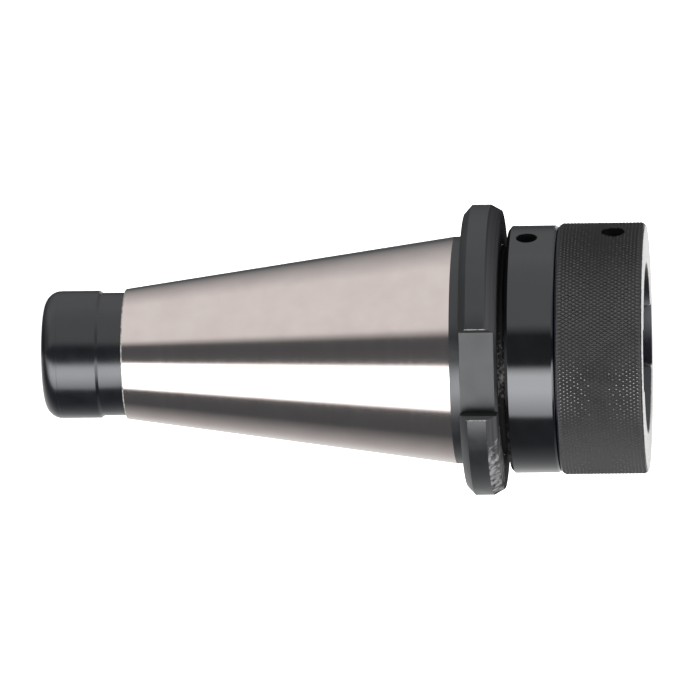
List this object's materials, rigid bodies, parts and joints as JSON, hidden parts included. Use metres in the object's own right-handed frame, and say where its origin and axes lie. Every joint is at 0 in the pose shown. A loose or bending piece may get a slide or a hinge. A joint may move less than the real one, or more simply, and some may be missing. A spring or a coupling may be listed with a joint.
{
  "type": "quick-change milling tool holder",
  "caption": "Steep-taper shank with a slotted drive flange, spanner collar and knurled bayonet nut that turns to lock a tapered tool adapter in the nose.",
  "frame": {"origin": "on the holder's axis, at the flat end of the pilot that it stands on", "axes": "+Z along the axis from the pilot to the mouth of the nut; the flange's drive slots and, with the nut open, the bayonet slots lie along -Y and +Y"},
  "size_m": [0.0892, 0.0852, 0.1856],
  "materials": {
    "shank_steel": "hardened steel, black oxide all over except the taper and the socket, which are ground bright",
    "nut_steel": "black oxide, fine diamond knurl round the outside, end face ground bright",
    "seal_rubber": "smooth moulded rubber",
    "spring_steel": "drawn spring wire",
    "hardened_steel": "hardened and ground",
    "screw_steel": "blackened socket screws"
  },
  "bodies": {
    "holder": {"shank_body": "shank_steel", "dust_seal": "seal_rubber", "retaining_ring": "spring_steel", "stop_pin": "hardened_steel", "drive_key_1": "hardened_steel", "drive_key_2": "hardened_steel", "key_screw_1": "screw_steel", "key_screw_2": "screw_steel", "key_screw_3": "screw_steel", "key_screw_4": "screw_steel"},
    "nut": {"bayonet_nut": "nut_steel"}
  },
  "joints": [
    {"name": "nut_turn", "type": "hinge", "parent": "holder", "child": "nut", "pos_m": [0, 0, 0.172], "axis": [0, 0, 1], "range_deg": [-73.4, 1.6]}
  ]
}
